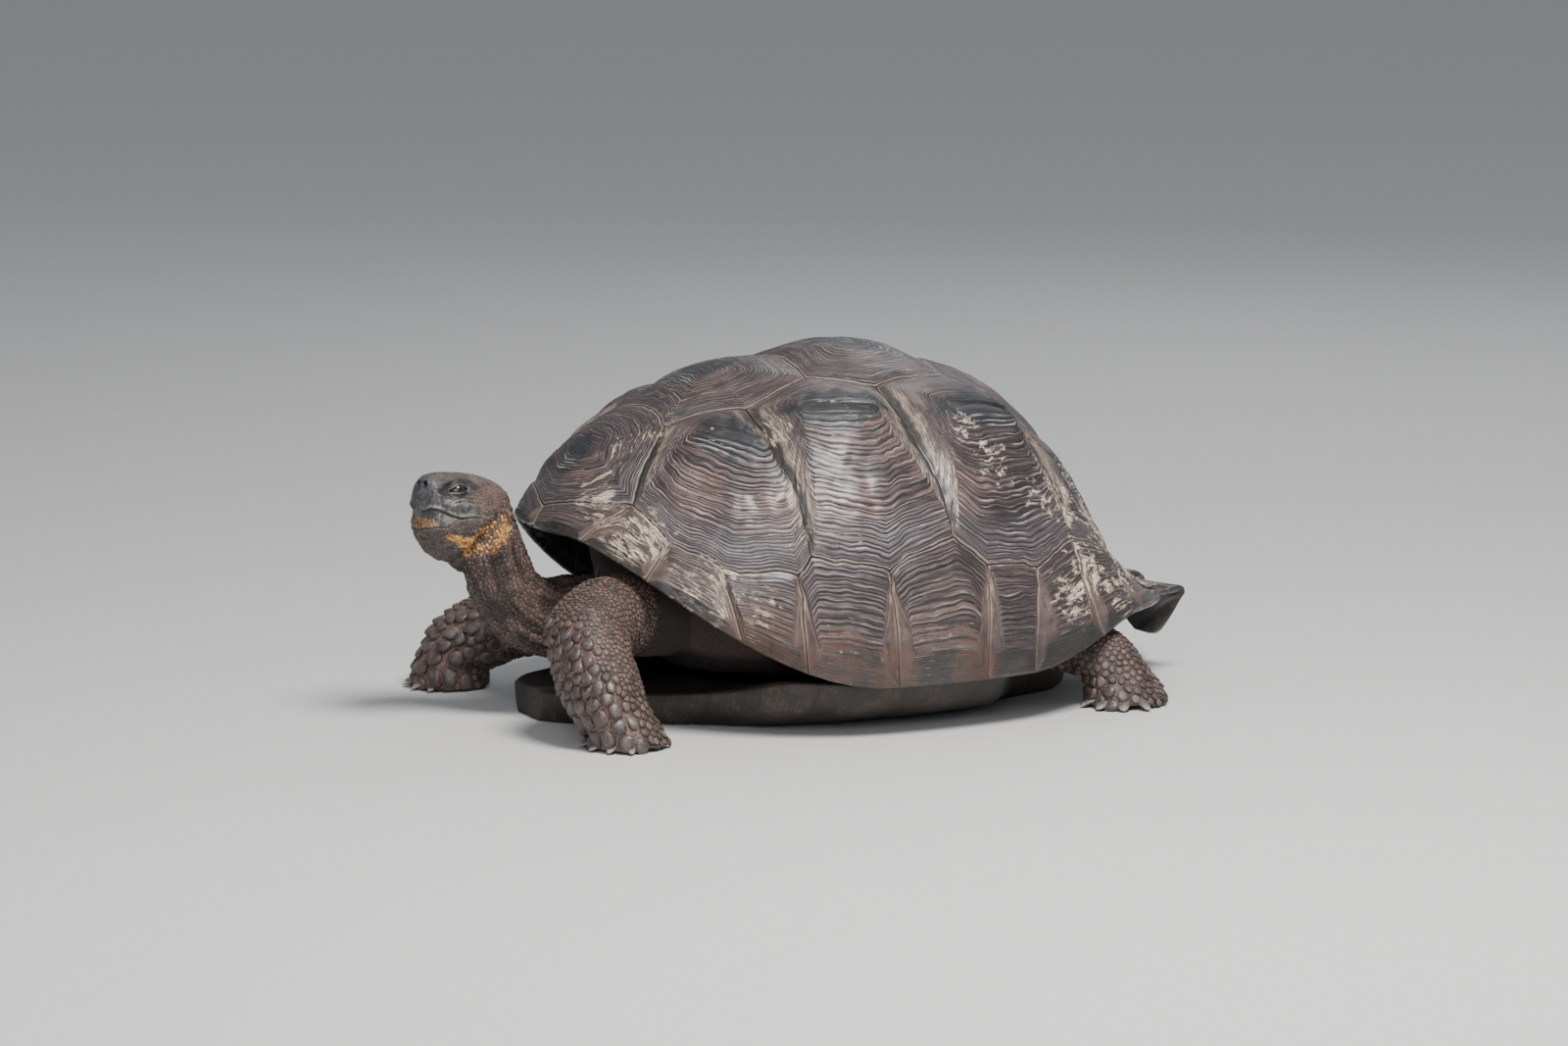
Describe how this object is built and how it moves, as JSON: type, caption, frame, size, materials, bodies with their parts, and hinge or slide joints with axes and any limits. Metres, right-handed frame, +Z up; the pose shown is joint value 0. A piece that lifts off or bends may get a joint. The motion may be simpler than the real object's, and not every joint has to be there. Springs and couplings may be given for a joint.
{
  "type": "giant tortoise",
  "caption": "Life-size giant tortoise with a high domed shell, resting low on its belly and thick scaly legs, its head raised on a bent neck.",
  "frame": {"origin": "on the floor, under the middle of the animal's box", "axes": "-Y the way the animal faces, +X its left side, +Z up"},
  "size_m": [0.8498, 1.3523, 0.5825],
  "materials": {
    "shell": "worn horn with growth rings, dull with a faint sheen, with pale flakes and dried soil",
    "plastron": "dark worn horn, smooth and dull",
    "skin": "dry wrinkled skin under hard scales, yellow at the throat, horny beak and claws",
    "eye": "wet and glossy"
  },
  "bodies": {
    "root": {"vertebral_1": "shell", "vertebral_2": "shell", "vertebral_3": "shell", "vertebral_4": "shell", "vertebral_5": "shell", "costal_left_1": "shell", "costal_left_2": "shell", "costal_left_3": "shell", "costal_left_4": "shell", "costal_right_1": "shell", "costal_right_2": "shell", "costal_right_3": "shell", "costal_right_4": "shell", "marginal_left_1": "shell", "marginal_left_2": "shell", "marginal_left_3": "shell", "marginal_left_4": "shell", "marginal_left_5": "shell", "marginal_left_6": "shell", "marginal_left_7": "shell", "marginal_left_8": "shell", "marginal_left_9": "shell", "marginal_left_10": "shell", "marginal_left_11": "shell", "marginal_right_1": "shell", "marginal_right_2": "shell", "marginal_right_3": "shell", "marginal_right_4": "shell", "marginal_right_5": "shell", "marginal_right_6": "shell", "marginal_right_7": "shell", "marginal_right_8": "shell", "marginal_right_9": "shell", "marginal_right_10": "shell", "marginal_right_11": "shell", "supracaudal": "shell", "plastron": "plastron", "trunk": "skin", "neck": "skin", "head": "skin", "tail": "skin", "foreleg_left": "skin", "foreleg_right": "skin", "hindleg_left": "skin", "hindleg_right": "skin", "eye_left": "eye", "eye_right": "eye"}
  },
  "joints": []
}
